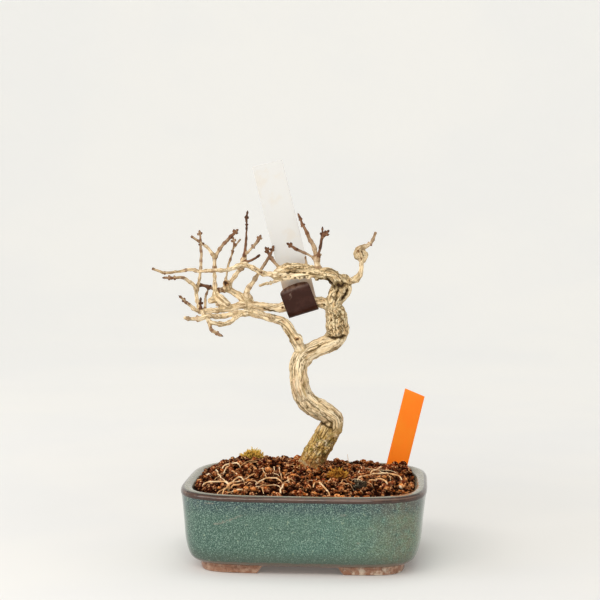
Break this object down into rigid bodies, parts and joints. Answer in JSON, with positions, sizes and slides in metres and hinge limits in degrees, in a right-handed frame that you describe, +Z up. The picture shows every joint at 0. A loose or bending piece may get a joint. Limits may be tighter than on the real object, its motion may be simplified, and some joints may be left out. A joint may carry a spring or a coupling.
{
  "type": "premna bonsai",
  "caption": "Leafless bonsai tree with an S-shaped trunk and limbs swept to one side, planted in granular soil in a glazed pot on feet, with blank plant labels.",
  "frame": {"origin": "middle of the whole's bounding box in plan, on the plane the pot's feet stand on", "axes": "+X to the right seen from the front, +Y to the back, +Z up"},
  "size_m": [0.1577, 0.116, 0.2306],
  "materials": {
    "teal_glaze": "glossy speckled blue-green glaze, brown where thin, bare clay feet",
    "granular_soil": "matt reddish-brown baked clay granules",
    "mesh_plastic": "matt black plastic mesh",
    "bark": "matt tan bark with dark fissures",
    "pale_root": "matt pale root skin",
    "moss": "matt yellow-green moss",
    "orange_plastic": "smooth orange plastic strip",
    "tag_film": "white plastic film, dark brown on its other face"
  },
  "bodies": {
    "root": {"branch_tag": "tag_film", "drain_mesh_left": "mesh_plastic", "drain_mesh_right": "mesh_plastic", "moss_lump_right": "moss", "moss_patch_front": "moss", "moss_tuft_back": "moss", "plant_label": "orange_plastic", "pot": "teal_glaze", "soil": "granular_soil", "surface_root_arc": "pale_root", "surface_root_back_left": "pale_root", "surface_root_fan": "pale_root", "surface_root_fork": "pale_root", "surface_root_front": "pale_root", "surface_root_left": "pale_root", "surface_root_middle": "pale_root", "surface_root_right_back": "pale_root", "surface_root_right_long": "pale_root", "surface_root_right_short": "pale_root", "tree": "bark"}
  },
  "joints": []
}
